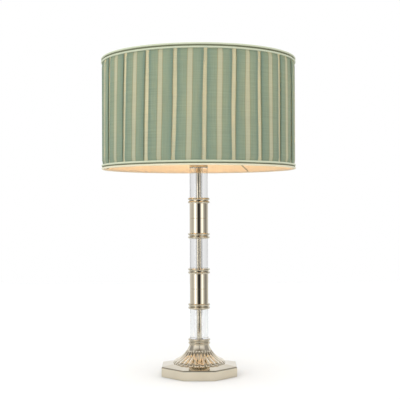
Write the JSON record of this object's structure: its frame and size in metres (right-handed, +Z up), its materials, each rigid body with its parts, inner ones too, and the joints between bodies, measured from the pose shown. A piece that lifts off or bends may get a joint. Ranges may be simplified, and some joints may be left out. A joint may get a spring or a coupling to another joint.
{
  "type": "table lamp",
  "caption": "Table lamp with a striped box-pleated drum shade on a column of clear glass and polished metal sleeves, standing on a flared bell foot and an octagonal base.",
  "frame": {"origin": "on the table under the middle of the column, at the underside of the felt pad", "axes": "+Z up the column, -Y towards the front of the lamp, +Y towards the cord gland"},
  "size_m": [0.4022, 0.4022, 0.6529],
  "materials": {
    "polished_nickel": "polished champagne nickel",
    "clear_glass": "clear polished glass",
    "gasket": "thin clear gasket",
    "zinc_steel": "zinc plated",
    "cast_iron": "as cast",
    "felt": "dark felt",
    "gland_plastic": "moulded",
    "holder_brass": "satin brass",
    "holder_ceramic": "white porcelain",
    "bulb_metal": "rolled thread",
    "opal_glass": "opal, lit warm",
    "frame_wire": "brassed wire",
    "lining_fabric": "smooth peach lining",
    "striped_fabric": "green linen with cream stripes, box pleated",
    "trim_fabric": "cream cords on an olive tape"
  },
  "bodies": {
    "stand": {"felt_pad": "felt", "bottom_plate": "zinc_steel", "bottom_plate_screws": "zinc_steel", "base_plinth": "polished_nickel", "cord_gland": "gland_plastic", "base_weight": "cast_iron", "base_bell": "polished_nickel", "rod_washer": "zinc_steel", "rod_nut": "zinc_steel", "centre_rod": "polished_nickel", "collar_1": "polished_nickel", "glass_lower": "clear_glass", "collar_2": "polished_nickel", "sleeve_lower": "polished_nickel", "collar_3": "polished_nickel", "glass_middle": "clear_glass", "collar_4": "polished_nickel", "sleeve_upper": "polished_nickel", "collar_5": "polished_nickel", "glass_upper": "clear_glass", "glass_gaskets": "gasket", "column_cap": "polished_nickel", "cap_locknut": "zinc_steel", "holder_dome": "holder_brass", "holder_body": "holder_brass", "holder_insulator": "holder_ceramic", "screw_shell": "holder_brass", "centre_contact": "holder_brass"},
    "switch": {"switch_bar": "holder_brass"},
    "shade": {"carrier_ring": "frame_wire", "carrier_arms": "frame_wire", "shade_bottom_ring": "frame_wire", "shade_top_ring": "frame_wire", "shade_lining": "lining_fabric", "shade_cover": "striped_fabric", "shade_bottom_trim": "trim_fabric", "shade_top_trim": "trim_fabric"},
    "shade_ring": {"shade_ring_nut": "holder_brass"},
    "bulb_tip": {"bulb_tip": "bulb_metal"},
    "bulb": {"bulb_cap": "bulb_metal", "bulb_glass": "opal_glass"}
  },
  "joints": [
    {"name": "shade_turn", "type": "hinge", "parent": "stand", "child": "shade", "pos_m": [0, 0, 0.5049], "axis": [0, 0, 1], "continuous": true},
    {"name": "shade_ring_turn", "type": "hinge", "parent": "stand", "child": "shade_ring", "pos_m": [0, 0, 0.5064], "axis": [0, 0, 1], "continuous": true},
    {"name": "bulb_rise", "type": "slide", "parent": "stand", "child": "bulb_tip", "axis": [0, 0, 1], "range_m": [0, 0.011]},
    {"name": "bulb_turn", "type": "hinge", "parent": "bulb_tip", "child": "bulb", "pos_m": [0, 0, 0.498], "axis": [0, 0, 1], "range_deg": [0, 1080]},
    {"name": "switch_slide", "type": "slide", "parent": "stand", "child": "switch", "axis": [1, 0, 0], "range_m": [-0.006, 0]}
  ],
  "couplings": [
    {"joint": "bulb_rise", "follows": "bulb_turn", "m_per_rad": 0.00057614}
  ]
}
